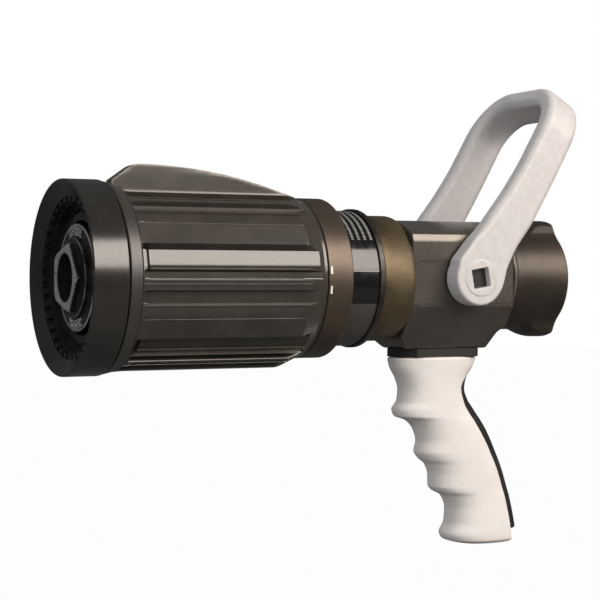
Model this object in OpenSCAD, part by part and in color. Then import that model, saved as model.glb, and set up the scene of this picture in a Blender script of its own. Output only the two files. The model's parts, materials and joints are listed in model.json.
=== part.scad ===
// Fire hose nozzle: a selectable-flow fog nozzle with a ball shutoff, a bail handle and a pistol
// grip, on a swivel coupling for a 1 1/2 inch hose.
// The origin is the centre of the hose thread's mouth. +X runs forward along the waterway, +Z is
// up and +Y is the nozzle's left side. Rest is the wide fog pattern with the bail leaning back.

/* [Inlet coupling] */
// Radius of the hose thread's bore
thread_r = 25.27; // [25:0.01:25.6]
// Depth of the hose thread
thread_depth = 17.5; // [15:0.5:18]
// Length of the swivel coupling
coupling_len = 40.5; // [40:0.1:40.6]
// Radius of the coupling's bowl
coupling_r = 31.3; // [31:0.1:33]
// Radius over the rocker lugs
lug_r = 36; // [34:0.5:38]
// Half width of a rocker lug at its crest
lug_half = 11.5; // [9:0.5:14]
// Number of balls in the swivel race
race_ball_count = 24; // [12:1:32]

/* [Valve body] */
// Distance from the inlet to the centre of the ball
hub_x = 72.8; // [72.5:0.1:73]
// Radius of the waterway through the ball
waterway_r = 16.5; // [15:0.5:17]
// Radius of the ball
ball_r = 26; // [25.8:0.1:26]
// Half width of the body between its flat sides
body_half = 32; // [32:0.1:32.3]
// Height of the body's top above the waterway axis
body_top = 34.6; // [34:0.1:36]
// Depth of the grip saddle below the waterway axis
saddle_z = 42; // [41:0.5:42]

/* [Bail handle] */
// Angle of the bail behind the vertical at rest
bail_lean = 30.3; // [25:0.1:35]
// Half width over the outside of the arms
bail_half = 45; // [44:0.5:48]
// Thickness of the arms and of the cross bar
bail_thick = 12; // [10:0.5:12]
// Distance from the hub to the top of the cross bar
bail_reach = 132.5; // [125:0.5:135]
// Radius of the hubs
hub_r = 16.1; // [15:0.1:18]
// Width of the square drive
drive_w = 11.2; // [10:0.1:11.2]
// How far past the rest position the valve still opens, in degrees
open_extra = 12; // [5:1:15]

/* [Flow rings] */
// Radius of the rear ring
body_ring_r = 37.1; // [36:0.1:38]
// Radius of the label band
band_r = 39.7; // [39.2:0.1:40.2]
// Radius of the flow ring
flow_ring_r = 46.4; // [45:0.1:47]

/* [Pattern sleeve] */
// Radius over the ribs
rib_r = 51.5; // [50:0.1:52]
// Depth of the grooves between the ribs
groove_depth = 2.6; // [1.5:0.1:3.5]
// Height of the fin's crest above the waterway axis
fin_top = 63; // [60:0.5:65]
// Thickness of the fin
fin_w = 8; // [6:0.5:10]
// Forward travel of the sleeve from wide fog to straight stream
sleeve_travel = 12; // [8:0.5:12]

/* [Bumper and baffle] */
// Overall length of the nozzle
nozzle_len = 314.5; // [314:0.1:315]
// Radius of the bumper
bumper_r = 54; // [53:0.1:55]
// Number of fog teeth
tooth_count = 36; // [24:1:40]
// Radius of the baffle disc
baffle_r = 29.5; // [28:0.5:30]
// Radius over the corners of the baffle nut
nut_corner_r = 20; // [18:0.5:21]
// Radius of the bore in the baffle nut
nut_bore_r = 13.4; // [12:0.1:14]

/* [Grip] */
// Half width of the grip at its top
grip_half = 15.5; // [14:0.5:17]

/* [Hidden] */

// Rings, bores and turned faces
round_fn = 96;
small_fn = 32;
// Running fit on a shaft or journal, and the gap between parts that only pass each other
fit = 0.05;
gap = 0.3;
// Cuts run this far past the faces that they open
past = 1;

// Inlet coupling and swivel
gasket_end = 20.7;
gasket_r = 26.6;
tail_start = gasket_end + gap;
tail_r = 24;
race_x = 31;
race_r = tail_r + gap / 2;
race_ball_r = 2;
race_plug_r = 2.6;
screen_r = 24.8;
screen_t = 1;

// Valve body
body_rear = 41;
body_front = 111.5;
cavity_r = 27;
seat_r = 24;
seat_end = 97;
adapter_face = 46.6;
adapter_front = 50;
spring_len = 2.3;
seat_width = 7.2;
spigot_r = 30;
spigot_end = 121;
plate_rear = 52.5;
plate_front = 105.5;
saddle_half = 14;
side_top = 21;
side_bottom = -16;
o_ring_r = 1.05;

// Trunnions
journal_r = 8;
bush_r = 10.5;
seal_r = 1;
tongue_depth = 4;
drive_start = body_half + 0.5;
drive_end = bail_half - 3.8;
hub_inner = bail_half - bail_thick - 0.3;

// Fixed rings and barrel
ring_front = 133.5;
rim_front = 137.5;
band_front = 157.5;
rim_r = 40.8;
drum_r = band_r - 1.1;
journal_len_end = 176;
flow_journal_r = 36;
barrel_r = 35.8;
barrel_front = nozzle_len - 12;
lip_bore_r = 31.5;

// Flow ring, cam pin and stem
flow_rear = band_front + gap;
flow_front = 173.7;
cam_pin_x = 166;
cam_pin_r = 2;
cam_reach = 38.5;
cam_groove_r = 40;
stem_back = 0.8;
stem_forward = 1.6;
stem_r = 7;
stem_rear = 156;
stem_shoulder = 289;
detent_x = 160.2;
detent_r = 1.2;
detent_ball_r = 1.15;
coil_turns = 6;
coil_steps = 12;
coil_sides = 6;
coil_wire_r = 0.22;
coil_r = 0.85;

// Baffle
baffle_rear = 293;
baffle_seat = 297;
baffle_front = 305.5;
nut_flange = 308;
nut_front = nozzle_len - 2;
nut_thread_r = 16;
bolt_r = 4;
bolt_head_r = 6.5;

// Pattern sleeve
sleeve_rear = 176;
cover_rear = 174.3;
cover_front = 286.5;
core_r = 44;
core_front = 303.2;
core_bore_r = barrel_r + gap;
core_flange_r = 47;
collar_front = 294.2;
guide_x = 190;
guide_len = 6;
guide_r = 38.5;
key_w = 6;
cam_x = 209.8;
cam_tip_r = 2.2;
cam_hole_r = 2.5;
cam_floor_r = 32.5;
groove_front = 282;
tail_end = 186;
pad_count = 6;
wide_groove = 3.6;
fine_groove = 2.2;
// Angles of the grooves on each side of the middle between two pads
wide_angle = 19.5;
fine_angle = 3.5;
zone_angle = 1.5;

// Bumper and fog teeth
cavity_bore_r = 45;
mouth_rear = 309.5;
mouth_small_r = 44.2;
mouth_large_r = 52.8;
teeth_rear = core_front + 0.4;
teeth_base = 305.8;
teeth_front = mouth_rear - gap;
teeth_outer_r = cavity_bore_r - gap;

// Grip: heights below the axis, front edge, rear edge and share of the half width
grip_top = saddle_z + 5;
grip_sides = 28;
grip_power = 0.8;
grip_stations = [
    [grip_top, 108, 50, 1], [53, 106.5, 52.5, 0.98], [60, 102.5, 57.5, 0.95],
    [66.5, 100.5, 59, 0.94], [73.5, 101.5, 56.5, 0.94], [78.5, 105, 52.7, 0.94],
    [82.5, 103.5, 49.4, 0.95], [85.5, 95.5, 47, 0.95], [91, 90.2, 44, 0.96],
    [98, 88, 40.3, 0.97], [104.5, 89.4, 37, 0.97], [108.5, 86.8, 35.2, 0.97],
    [112.5, 82, 33.5, 0.97], [119, 79.5, 31, 0.97], [125.5, 79.4, 29, 0.97],
    [128.5, 77, 28, 0.97], [132, 70.5, 27, 0.98], [140, 67, 25, 1],
    [148, 67.5, 23.4, 1.03], [155, 71, 22.2, 1.05], [158.5, 69, 21.6, 1.03], [161, 62, 25, 0.9],
];
// Front edge of the backstrap, from the top down
strap_edge = [
    [59, 49], [65, 58], [66, 66], [63, 75], [55.5, 87], [46, 102.5], [37.6, 122],
    [33.4, 137], [30.5, 153],
];
bolt_top = [78, -30];
bolt_bottom = [44.1, -155];
bolt_len = norm(bolt_top - bolt_bottom);
grip_bolt_r = 3;
grip_bolt_head_r = 5.5;
bolt_head_len = 5;

coupling_colour = "#2b2927";
body_colour = "#4b4037";
bronze = "#665746";
dark_metal = "#3c3a36";
steel = "#b8b6b0";
white_coat = "#dcd8d2";
black = "#1b1a19";
rubber = "#3d3b33";
bumper_colour = "#2c2a27";
ptfe = "#e8e6df";
brass = "#b08d4c";

// ---- Helpers ----

// Solid of revolution about the X axis from [x, radius] points
module turned(profile) {
    rotate([0, 90, 0]) rotate_extrude($fn = round_fn) polygon([for (p = profile) [p[1], p[0]]]);
}

// Round bar along X
module bar_x(x0, x1, r, fn = round_fn) {
    translate([x0, 0, 0]) rotate([0, 90, 0]) cylinder(h = x1 - x0, r = r, $fn = fn);
}

// Ring along X
module ring_x(x0, x1, outer, inner) {
    difference() {
        bar_x(x0, x1, outer);
        bar_x(x0 - past, x1 + past, inner);
    }
}

// Torus about the X axis
module torus_x(x, major, minor) {
    translate([x, 0, 0]) rotate([0, 90, 0]) rotate_extrude($fn = round_fn)
        translate([major, 0]) circle(r = minor, $fn = small_fn);
}

// Section in the YZ plane, extruded along X
module along_x(x0, x1) {
    translate([x0, 0, 0]) rotate([90, 0, 90]) linear_extrude(x1 - x0) children();
}

// Outline in the XZ plane, extruded along Y
module along_y(y0, y1) {
    translate([0, y1, 0]) rotate([90, 0, 0]) linear_extrude(y1 - y0) children();
}

// Round bar along Y at the height of the axis
module bar_y(x, y0, y1, r, fn = round_fn) {
    translate([x, y1, 0]) rotate([90, 0, 0]) cylinder(h = y1 - y0, r = r, $fn = fn);
}

// Radial bar that points down, between two radii
module bar_down(x, r0, r1, r) {
    translate([x, 0, -r1]) cylinder(h = r1 - r0, r = r, $fn = small_fn);
}

// Square whose four corners are round
module round_rect(half_x, y0, y1, r) {
    square_w = half_x - r;
    translate([-half_x, y0 + r]) square([2 * half_x, y1 - y0 - 2 * r]);
    translate([-square_w, y0]) square([2 * square_w, y1 - y0]);
    for (x = [-square_w, square_w], y = [y0 + r, y1 - r]) {
        translate([x, y]) circle(r = r, $fn = round_fn);
    }
}

// The bail's own frame: the hub is the origin and the arms run along +Z
module in_bail_frame() {
    translate([hub_x, 0, 0]) rotate([0, -bail_lean, 0]) children();
}

// ---- Swivel coupling ----

module rocker_lug() {
    intersection() {
        turned([[0, 0], [0, lug_r - 1.5], [1.5, lug_r], [14, lug_r], [25, coupling_r - 0.5], [25, 0]]);
        along_x(0, 26) polygon([
            [-lug_half - 8, 22], [-lug_half - 3, 30], [-lug_half, 33.5], [-lug_half + 1, lug_r + 1],
            [lug_half - 1, lug_r + 1], [lug_half, 33.5], [lug_half + 3, 30], [lug_half + 8, 22],
        ]);
    }
}

module swivel_coupling() {
    color(coupling_colour) difference() {
        union() {
            turned([
                [0, 0], [0, coupling_r - 1.5], [1.5, coupling_r], [coupling_len - 2, coupling_r],
                [coupling_len, coupling_r - 2], [coupling_len, 0],
            ]);
            for (turn = [0, 180]) rotate([turn, 0, 0]) rocker_lug();
        }
        bar_x(-past, thread_depth + past, thread_r);
        bar_x(thread_depth, tail_start, gasket_r);
        bar_x(thread_depth, coupling_len + past, tail_r + gap);
        torus_x(race_x, race_r, race_ball_r);
        bar_y(race_x, -coupling_r - past, -race_r, race_plug_r, small_fn);
    }
}

module inlet_gasket() {
    color(black) ring_x(thread_depth + screen_t, gasket_end, gasket_r, waterway_r + past);
}

// Perforated strainer that the gasket holds against the end of the thread
module inlet_screen() {
    color(steel) difference() {
        bar_x(thread_depth, thread_depth + screen_t, gasket_r);
        for (ring = [[0, 1], [6.5, 6], [13, 12]], i = [0:ring[1] - 1]) {
            rotate([i * 360 / ring[1], 0, 0]) translate([0, 0, ring[0]])
                bar_x(thread_depth - past, thread_depth + screen_t + past, 2.4, small_fn);
        }
    }
}

module race_balls() {
    color(steel) for (i = [0:race_ball_count - 1]) {
        rotate([(i + 0.5) * 360 / race_ball_count, 0, 0]) translate([race_x, 0, race_r])
            sphere(r = race_ball_r, $fn = small_fn);
    }
}

module race_plug() {
    color(steel) difference() {
        bar_y(race_x, -coupling_r + 0.6, -race_r - race_ball_r, race_plug_r, small_fn);
        translate([race_x - race_plug_r, -coupling_r, -0.4]) cube([2 * race_plug_r, 1.6, 0.8]);
    }
}

// ---- Valve body ----

// Squarish section with a shallow crown and chamfered shoulders
module body_section() {
    crown_r = 60;
    intersection() {
        polygon([
            [-body_half, side_bottom], [-body_half, side_top], [-body_half + 2, side_top + 6.5],
            [-body_half + 2, body_top + 1], [body_half - 2, body_top + 1],
            [body_half - 2, side_top + 6.5], [body_half, side_top], [body_half, side_bottom],
            [saddle_half, -saddle_z], [-saddle_half, -saddle_z],
        ]);
        translate([0, body_top - crown_r]) circle(r = crown_r, $fn = 4 * round_fn);
    }
}

module valve_body() {
    color(body_colour) difference() {
        union() {
            intersection() {
                along_x(body_rear, body_front) body_section();
                along_y(-body_half - past, body_half + past) polygon([
                    [body_rear, -34], [body_rear, body_top + past], [body_front, body_top + past],
                    [body_front, -36], [plate_front, -saddle_z], [plate_rear, -saddle_z],
                    [46.5, 3 - saddle_z],
                ]);
            }
            bar_x(body_front - past, spigot_end, spigot_r);
        }
        bar_x(body_rear - past, hub_x + 18.2, cavity_r);
        bar_x(hub_x, seat_end, seat_r);
        bar_x(hub_x, spigot_end + past, waterway_r);
        bar_y(hub_x, -body_half - past, body_half + past, bush_r);
        grip_bolt_bar(grip_bolt_r);
    }
}

// Tail tube that screws into the body and carries the swivel
module inlet_adapter() {
    color(dark_metal) difference() {
        union() {
            bar_x(tail_start, body_rear + 0.6, tail_r);
            bar_x(body_rear + 0.6, adapter_front, cavity_r);
        }
        bar_x(tail_start - past, adapter_front + past, waterway_r);
        bar_x(adapter_face, adapter_front + past, seat_r);
        torus_x(race_x, race_r, race_ball_r + 0.25);
        ring_x(43.6, 46, cavity_r + past, cavity_r - 2 * o_ring_r);
    }
}

module seat_ring(x0, x1) {
    difference() {
        ring_x(x0, x1, seat_r, waterway_r);
        translate([hub_x, 0, 0]) sphere(r = ball_r + gap, $fn = round_fn);
    }
}

module front_seat() {
    color(ptfe) seat_ring(hub_x + 16.7, seat_end);
}

module rear_seat() {
    color(ptfe) seat_ring(adapter_face + spring_len, adapter_face + spring_len + seat_width);
}

module seat_o_ring() {
    color(black) torus_x(44.8, cavity_r - o_ring_r, o_ring_r);
}

// Cone washer that presses the rear seat against the ball
module seat_spring() {
    color(steel) turned([
        [adapter_face, seat_r - 0.2], [adapter_face + 0.9, seat_r - 0.2],
        [adapter_face + spring_len, waterway_r + 1.1], [adapter_face + 1.4, waterway_r + 1.1],
    ]);
}

module trunnion_bushes() {
    color(brass) for (side = [-1, 1]) scale([1, side, 1]) difference() {
        bar_y(hub_x, cavity_r, body_half, bush_r);
        bar_y(hub_x, cavity_r - past, body_half + past, journal_r + fit);
        bar_y(hub_x, 28.5, 28.5 + 2 * seal_r, journal_r + fit + 2 * seal_r);
    }
}

module trunnion_seals() {
    color(black) for (side = [-1, 1]) translate([hub_x, side * (28.5 + seal_r), 0])
        rotate([90, 0, 0]) rotate_extrude($fn = round_fn)
            translate([journal_r + fit + seal_r, 0]) circle(r = seal_r, $fn = small_fn);
}

// ---- Ball, trunnions and bail ----

module trunnion_tongue(side) {
    translate([hub_x, side * ball_r, 0]) rotate([0, open_extra, 0])
        translate([0, -side * tongue_depth / 2, 0]) cube([14, tongue_depth, 6], center = true);
}

module valve_ball() {
    color(steel) difference() {
        translate([hub_x, 0, 0]) sphere(r = ball_r, $fn = round_fn);
        translate([hub_x, 0, 0]) rotate([0, open_extra, 0]) bar_x(-ball_r - past, ball_r + past, waterway_r);
        for (side = [-1, 1]) trunnion_tongue(side);
    }
}

// Shaft that keys the ball to the bail: tongue, journal and square end
module trunnion(side) {
    color(steel) {
        trunnion_tongue(side);
        scale([1, side, 1]) {
            bar_y(hub_x, ball_r, drive_start, journal_r);
            translate([hub_x, (drive_start + drive_end) / 2, 0]) rotate([0, 10, 0])
                cube([drive_w, drive_end - drive_start, drive_w], center = true);
        }
    }
}

module trunnion_left() {
    trunnion(1);
}

module trunnion_right() {
    trunnion(-1);
}

// Side outline of an arm in the bail's frame, from inside the hub to past the cross bar
module arm_outline() {
    top = bail_reach + past;
    polygon([
        [12, 2], [15.6, 13], [11.5, 37], [8.6, 58], [7.2, 80], [7.2, top],
        [-15.4, top], [-16.6, 76], [-16.3, 50], [-13.6, 25], [-13.2, 14], [-11, 2],
    ]);
}

module bail_handle() {
    inner_half = bail_half - bail_thick;
    outer_corner = 31;
    color(white_coat) difference() {
        union() {
            in_bail_frame() intersection() {
                along_y(-bail_half - past, bail_half + past) arm_outline();
                along_x(-20, 20) difference() {
                    round_rect(bail_half, -80, bail_reach, outer_corner);
                    round_rect(inner_half, -81, bail_reach - bail_thick, outer_corner - bail_thick);
                }
            }
            for (side = [-1, 1]) scale([1, side, 1]) {
                bar_y(hub_x, hub_inner, bail_half, hub_r);
                bar_y(hub_x, bail_half - past, bail_half + 0.8, 10.5);
            }
        }
        translate([hub_x, 0, 0]) rotate([0, 10, 0])
            cube([drive_w, 2 * bail_half + 4, drive_w], center = true);
    }
}

// ---- Fixed rings and barrel ----

module body_ring() {
    color(bronze) difference() {
        turned([
            [body_front, 0], [body_front, body_ring_r - 2], [body_front + 0.6, body_ring_r - 0.6],
            [body_front + 2, body_ring_r], [ring_front, body_ring_r], [ring_front, 0],
        ]);
        bar_x(body_front - past, ring_front + past, spigot_r);
    }
}

module band_rim() {
    color(bronze) ring_x(ring_front, rim_front, rim_r, spigot_r);
}

module label_band() {
    color(black) ring_x(rim_front, band_front, band_r, drum_r);
}

// Waterway inside the barrel, as a solid
module barrel_waterway() {
    turned([
        [spigot_end - past, 0], [spigot_end - past, waterway_r], [spigot_end, waterway_r], [170, 24],
        [230, 29], [285, lip_bore_r], [barrel_front + past, lip_bore_r], [barrel_front + past, 0],
    ]);
}

module barrel() {
    slot_rear = cam_pin_x - stem_back;
    slot_front = cam_pin_x + stem_forward;
    slot_r = cam_pin_r + 0.5;
    color(dark_metal) difference() {
        union() {
            bar_x(spigot_end, rim_front, spigot_r);
            bar_x(rim_front, band_front, drum_r);
            bar_x(band_front, journal_len_end, flow_journal_r);
            bar_x(journal_len_end, barrel_front, barrel_r);
        }
        barrel_waterway();
        // Slots for the flow cam pin
        for (x = [slot_rear, slot_front]) bar_y(x, -50, 50, slot_r, small_fn);
        translate([slot_rear, -50, -slot_r]) cube([slot_front - slot_rear, 100, 2 * slot_r]);
        // Race of the pattern cam pins
        ring_x(cam_x - 2.6, cam_x + sleeve_travel + 2.6, barrel_r + past, cam_floor_r);
        // Keyways of the guide ring
        for (side = [-1, 1]) {
            translate([guide_x - 0.6, -key_w / 2 - gap, side * 36 - 2])
                cube([sleeve_travel + guide_len + 1.2, key_w + 2 * gap, 4]);
        }
    }
}

// Hub that guides the stem, on four vanes
module stem_spider() {
    color(dark_metal) difference() {
        union() {
            bar_x(224, 240, stem_r + 3);
            intersection() {
                barrel_waterway();
                for (turn = [0:3]) rotate([45 + turn * 90, 0, 0])
                    translate([226, -1.5, 0]) cube([12, 3, 40]);
            }
        }
        bar_x(222, 242, stem_r + fit);
    }
}

// ---- Flow ring, stem and baffle ----

module flow_ring() {
    color(bronze) difference() {
        turned([
            [flow_rear, 0], [flow_rear, flow_ring_r - 1], [flow_rear + 1, flow_ring_r],
            [flow_front - 0.5, flow_ring_r], [flow_front, flow_ring_r - 0.5], [flow_front, 0],
        ]);
        bar_x(flow_rear - past, flow_front + past, flow_journal_r + fit);
        bar_x(cam_pin_x - stem_back - 2.3, cam_pin_x + stem_forward + 2.3, cam_groove_r);
        bar_down(detent_x, 30, 50, detent_r);
        for (z = [4.4, -6.6]) flow_mark(z);
    }
}

// One short line let into the rim of the flow ring
module flow_mark(z) {
    rotate([asin(z / flow_ring_r), 0, 0]) translate([flow_front - 2.4, flow_ring_r - 0.5, -2.2])
        cube([1.2, 0.55, 4.4]);
}

module flow_index_marks() {
    color("white") for (z = [4.4, -6.6]) flow_mark(z);
}

module flow_detent_ball() {
    color(steel) translate([detent_x, 0, -flow_journal_r - fit - detent_ball_r])
        sphere(r = detent_ball_r, $fn = small_fn);
}

// Coil spring between the detent ball and its plug
module flow_detent_spring() {
    start = flow_journal_r + fit + 2 * detent_ball_r + coil_wire_r;
    rise = 5.0;
    steps = coil_turns * coil_steps;
    points = [
        for (i = [0:steps], k = [0:coil_sides - 1])
            let (turn = i * 360 / coil_steps, side = k * 360 / coil_sides)
            let (r = coil_r + coil_wire_r * cos(side))
            [r * cos(turn), r * sin(turn), i * rise / steps + coil_wire_r * sin(side)]
    ];
    ring_faces = [
        for (i = [0:steps - 1], k = [0:coil_sides - 1])
            let (a = i * coil_sides + k, b = i * coil_sides + (k + 1) % coil_sides)
            for (face = [[a, a + coil_sides, b], [b, a + coil_sides, b + coil_sides]]) face
    ];
    caps = [
        [for (k = [0:coil_sides - 1]) k],
        [for (k = [coil_sides - 1:-1:0]) steps * coil_sides + k],
    ];
    color(steel) translate([detent_x, 0, -start]) rotate([180, 0, 0])
        polyhedron(points, concat(ring_faces, caps));
}

module flow_detent_plug() {
    color(steel) difference() {
        bar_down(detent_x, 43.9, flow_ring_r - 0.6, detent_r);
        translate([detent_x - 2, -0.25, -flow_ring_r]) cube([4, 0.5, 1.3]);
    }
}

module stem() {
    color(steel) difference() {
        union() {
            turned([[stem_rear - 8, 0], [stem_rear - 6, 3], [stem_rear, stem_r], [stem_rear, 0]]);
            bar_x(stem_rear, baffle_seat, stem_r);
            turned([
                [stem_shoulder - 5, 0], [stem_shoulder - 5, stem_r], [stem_shoulder, stem_r + 5],
                [baffle_rear, stem_r + 5], [baffle_rear, 0],
            ]);
        }
        bar_y(cam_pin_x, -stem_r - past, stem_r + past, cam_pin_r, small_fn);
        bar_x(280, baffle_seat + past, bolt_r, small_fn);
    }
}

// Cross pin that follows the groove inside the flow ring
module flow_cam_pin() {
    color(steel) bar_y(cam_pin_x, -cam_reach, cam_reach, cam_pin_r, small_fn);
}

module stem_bolt() {
    color(steel) difference() {
        union() {
            bar_x(280, baffle_seat + 2, bolt_r, small_fn);
            bar_x(baffle_seat + 2, baffle_seat + 8, bolt_head_r, small_fn);
        }
        bar_x(baffle_seat + 4, baffle_seat + 9, 3.5, 6);
    }
}

module baffle_disc() {
    color(dark_metal) difference() {
        turned([
            [baffle_rear, 0], [baffle_rear, 13], [baffle_front - 5, baffle_r - 3],
            [baffle_front - 2.5, baffle_r], [baffle_front - 0.6, baffle_r],
            [baffle_front, baffle_r - 0.6], [baffle_front, 0],
        ]);
        bar_x(baffle_rear - past, baffle_seat + past, stem_r);
        bar_x(baffle_seat, baffle_front + past, nut_thread_r);
    }
}

// Two plain plates on the face of the disc, above and below the nut
module baffle_badges() {
    color(steel) intersection() {
        ring_x(baffle_front, baffle_front + 0.5, baffle_r - 1.5, nut_corner_r + 3);
        along_x(baffle_front - past, baffle_front + 2) for (side = [-1, 1]) {
            polygon([[0, 0], [12, side * 30], [-12, side * 30]]);
        }
    }
}

// Hollow nut with five sides that clamps the disc
module baffle_nut() {
    color(dark_metal) difference() {
        union() {
            bar_x(baffle_seat, baffle_front, nut_thread_r);
            bar_x(baffle_front, nut_flange, nut_corner_r + 2);
            intersection() {
                rotate([18, 0, 0]) bar_x(nut_flange, nut_front, nut_corner_r, 5);
                turned([
                    [nut_flange, 0], [nut_flange, nut_corner_r], [nut_front - 1.2, nut_corner_r],
                    [nut_front, nut_corner_r - 1.6], [nut_front, 0],
                ]);
            }
        }
        bar_x(baffle_seat + 2, nut_front + past, nut_bore_r);
        bar_x(baffle_seat - past, baffle_seat + 3, bolt_r, small_fn);
    }
}

// ---- Pattern sleeve ----

// Keyed ring that slides along the barrel with the sleeve but doesn't turn
module pattern_guide_ring() {
    color(brass) {
        ring_x(guide_x, guide_x + guide_len, guide_r, barrel_r + fit);
        for (side = [-1, 1]) {
            translate([guide_x, -key_w / 2, side * (barrel_r - 0.1) - 1.2])
                cube([guide_len, key_w, 2.4]);
        }
    }
}

module sleeve_core() {
    color(dark_metal) difference() {
        union() {
            bar_x(sleeve_rear, cover_front, core_r);
            bar_x(cover_front, core_front, core_flange_r);
        }
        bar_x(sleeve_rear - past, core_front + past, core_bore_r);
        bar_x(guide_x - gap, guide_x + guide_len + gap, guide_r + gap);
        for (step = [0:2]) bar_x(297 + 2 * step, core_front + past, core_bore_r + 1.5 * (step + 1));
        bar_y(cam_x, -core_r - past, core_r + past, cam_hole_r, small_fn);
    }
}

module cam_pins() {
    color(steel) for (side = [-1, 1]) scale([1, side, 1]) {
        bar_y(cam_x, core_bore_r + 1, core_r - gap, cam_hole_r, small_fn);
        bar_y(cam_x, cam_floor_r + gap, core_bore_r + 1, cam_tip_r, small_fn);
    }
}

// Groove along the cover with a round front end
module cover_groove(angle, width) {
    floor_r = rib_r - groove_depth;
    rotate([angle, 0, 0]) {
        translate([cover_rear - past, -width / 2, floor_r])
            cube([groove_front - cover_rear + past, width, groove_depth + past]);
        translate([groove_front, 0, floor_r])
            cylinder(h = groove_depth + past, r = width / 2, $fn = small_fn);
    }
}

// Side outline of the fin: a long shallow arc that rises to the crest and a short nose
module fin_outline() {
    rear_h = flow_ring_r;
    span = 94;
    rise = fin_top - rear_h;
    arc_r = (span * span + rise * rise) / (2 * rise);
    crest_x = cover_rear + span;
    polygon(concat(
        [[cover_rear, core_r + past]],
        [for (i = [0:12]) let (a = asin(span / arc_r) * (1 - i / 12))
            [crest_x - arc_r * sin(a), fin_top - arc_r * (1 - cos(a))]],
        [[273.3, fin_top], [cover_front, fin_top - 9.2], [cover_front, core_r + past]]
    ));
}

module sleeve_cover() {
    color(rubber) difference() {
        union() {
            turned([
                [cover_rear, 0], [cover_rear, flow_ring_r], [tail_end, rib_r], [280, rib_r + 0.1],
                [cover_front, rib_r + 0.3], [cover_front, 0],
            ]);
            along_y(-fin_w / 2, fin_w / 2) fin_outline();
        }
        bar_x(cover_rear - past, cover_front + past, core_r);
        for (zone = [0:pad_count - 1], side = [-1, 1]) {
            cover_groove(-30 + zone * 60 + zone_angle + side * wide_angle, wide_groove);
            cover_groove(-30 + zone * 60 + zone_angle + side * fine_angle, fine_groove);
        }
    }
}

module front_collar() {
    color(bumper_colour) difference() {
        turned([
            [cover_front, 0], [cover_front, rib_r + 0.3], [collar_front - 1, bumper_r - 0.8],
            [collar_front, bumper_r - 0.8], [collar_front, 0],
        ]);
        bar_x(cover_front - past, collar_front + past, core_flange_r);
    }
}

// ---- Bumper and fog teeth ----

module bumper() {
    color(bumper_colour) difference() {
        turned([
            [collar_front, 0], [collar_front, bumper_r - 0.8], [collar_front + 0.8, bumper_r],
            [collar_front + 3, bumper_r], [collar_front + 4, bumper_r - 0.4],
            [nozzle_len - 3, bumper_r - 0.4], [nozzle_len - 2, bumper_r],
            [nozzle_len - 0.8, bumper_r], [nozzle_len, bumper_r - 0.8], [nozzle_len, 0],
        ]);
        bar_x(collar_front - past, core_front, core_flange_r);
        bar_x(core_front - past, mouth_rear, cavity_bore_r);
        turned([
            [mouth_rear - past, 0], [mouth_rear - past, mouth_small_r], [mouth_rear, mouth_small_r],
            [nozzle_len, mouth_large_r], [nozzle_len + past, mouth_large_r], [nozzle_len + past, 0],
        ]);
    }
}

// Loose ring of teeth that the water spins
module fog_teeth_ring() {
    color(dark_metal) {
        ring_x(teeth_rear, teeth_base, teeth_outer_r, 41.2);
        intersection() {
            ring_x(teeth_base - 0.1, teeth_front, teeth_outer_r, 42);
            for (i = [0:tooth_count - 1]) rotate([i * 360 / tooth_count, 0, 0])
                translate([teeth_base - 0.1, -1.7, 41]) cube([teeth_front - teeth_base + 0.1, 3.4, 5]);
        }
    }
}

// ---- Grip ----

module grip_plate() {
    color(black) difference() {
        translate([0, 0, -grip_top]) linear_extrude(grip_top - saddle_z) polygon([
            [plate_rear, 4 - saddle_half], [plate_rear + 4, -saddle_half],
            [plate_front - 8, -saddle_half], [plate_front, 6 - saddle_half],
            [plate_front, saddle_half - 6], [plate_front - 8, saddle_half],
            [plate_rear + 4, saddle_half], [plate_rear, saddle_half - 4],
        ]);
        grip_bolt_bar(grip_bolt_r);
    }
}

// Full body of the grip, lofted through its stations
module grip_loft() {
    function soft(v) = sign(v) * pow(abs(v), grip_power);
    last = len(grip_stations) - 1;
    points = concat(
        [for (s = grip_stations, k = [0:grip_sides - 1])
            let (a = k * 360 / grip_sides, mid = (s[1] + s[2]) / 2, half = (s[1] - s[2]) / 2)
            [mid + half * soft(cos(a)), grip_half * s[3] * soft(sin(a)), -s[0]]],
        [for (s = [grip_stations[0], grip_stations[last]]) [(s[1] + s[2]) / 2, 0, -s[0]]]
    );
    top_mid = (last + 1) * grip_sides;
    skin = [
        for (i = [0:last - 1], k = [0:grip_sides - 1])
            let (a = i * grip_sides + k, b = i * grip_sides + (k + 1) % grip_sides)
            for (face = [[a, b, a + grip_sides], [b, b + grip_sides, a + grip_sides]]) face
    ];
    ends = [
        for (k = [0:grip_sides - 1], e = [0, 1])
            let (a = e * last * grip_sides + k, b = e * last * grip_sides + (k + 1) % grip_sides)
            e == 0 ? [b, a, top_mid] : [a, b, top_mid + 1]
    ];
    polyhedron(points, concat(skin, ends));
}

// Everything behind the front edge of the backstrap
module strap_cutter(side_past) {
    along_y(-grip_half - side_past, grip_half + side_past) polygon(concat(
        [for (p = strap_edge) [p[0], -p[1]]], [[15, -153], [15, -49]]
    ));
}

// Bar along the grip bolt's own slanted axis, measured up from the seat of its head
module grip_bolt_bar(r, start = 0, end = bolt_len) {
    rise = bolt_top - bolt_bottom;
    translate([bolt_bottom[0], 0, bolt_bottom[1]]) rotate([0, atan2(rise[0], rise[1]), 0])
        translate([0, 0, start]) cylinder(h = end - start, r = r, $fn = small_fn);
}

module pistol_grip() {
    color(white_coat) difference() {
        grip_loft();
        strap_cutter(past);
        grip_bolt_bar(grip_bolt_r);
        grip_bolt_bar(grip_bolt_head_r + 0.5, -30, 0);
    }
}

module grip_backstrap() {
    color(black) difference() {
        intersection() {
            grip_loft();
            strap_cutter(past);
        }
        grip_bolt_bar(grip_bolt_r);
    }
}

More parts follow.
